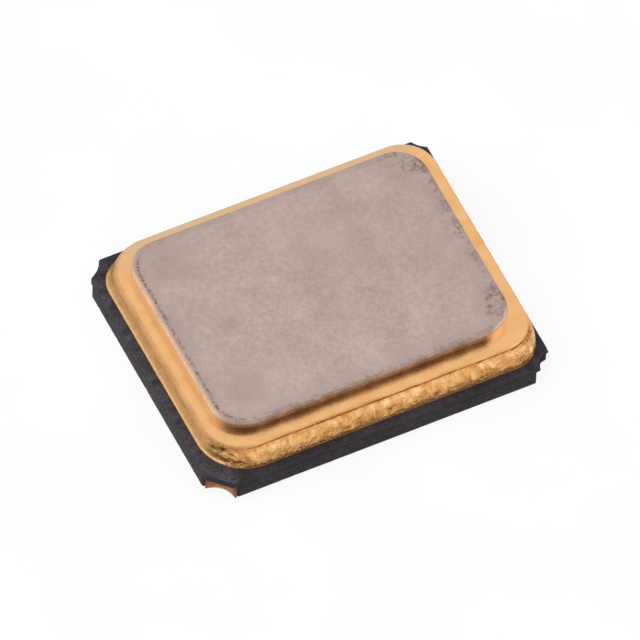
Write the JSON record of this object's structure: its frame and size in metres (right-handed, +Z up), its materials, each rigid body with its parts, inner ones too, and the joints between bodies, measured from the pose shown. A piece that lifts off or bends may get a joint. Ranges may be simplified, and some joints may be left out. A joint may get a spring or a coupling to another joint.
{
  "type": "quartz crystal",
  "caption": "Surface-mount quartz crystal: dark ceramic body with plated corner notches, gold seal ring and flat welded metal lid over a sealed quartz blank.",
  "frame": {"origin": "middle of the resting plane, the underside of the four solder terminals", "axes": "+X along the long side, +Y along the short side, +Z up through the lid"},
  "size_m": [0.0024, 0.002, 0.0004],
  "materials": {
    "ceramic": "matt, fired dark alumina",
    "terminal_gold": "gold plated, satin",
    "seal_print": "gold plated print",
    "braze_gold": "gold plated over rough braze",
    "ring_gold": "gold plated, smooth satin",
    "lid_nickel": "nickel plated, matt and mottled",
    "quartz": "lapped and etched",
    "electrode_film": "evaporated metal film",
    "bond_glue": "silver filled glue",
    "land_gold": "gold plated print",
    "rest_print": "fired print",
    "via_metal": "fired metal filling"
  },
  "bodies": {
    "root": {"ceramic_body": "ceramic", "terminal_in": "terminal_gold", "terminal_ground_right": "terminal_gold", "terminal_out": "terminal_gold", "terminal_ground_left": "terminal_gold", "seal_print": "seal_print", "braze": "braze_gold", "seal_ring": "ring_gold", "lid": "lid_nickel", "quartz_blank": "quartz", "lower_electrode": "electrode_film", "upper_electrode": "electrode_film", "glue_dot_in": "bond_glue", "glue_dot_out": "bond_glue", "bond_land_in": "land_gold", "bond_land_out": "land_gold", "blank_rest": "rest_print", "signal_via_in": "via_metal", "signal_via_out": "via_metal", "ground_via_right": "via_metal", "ground_via_left": "via_metal"}
  },
  "joints": []
}
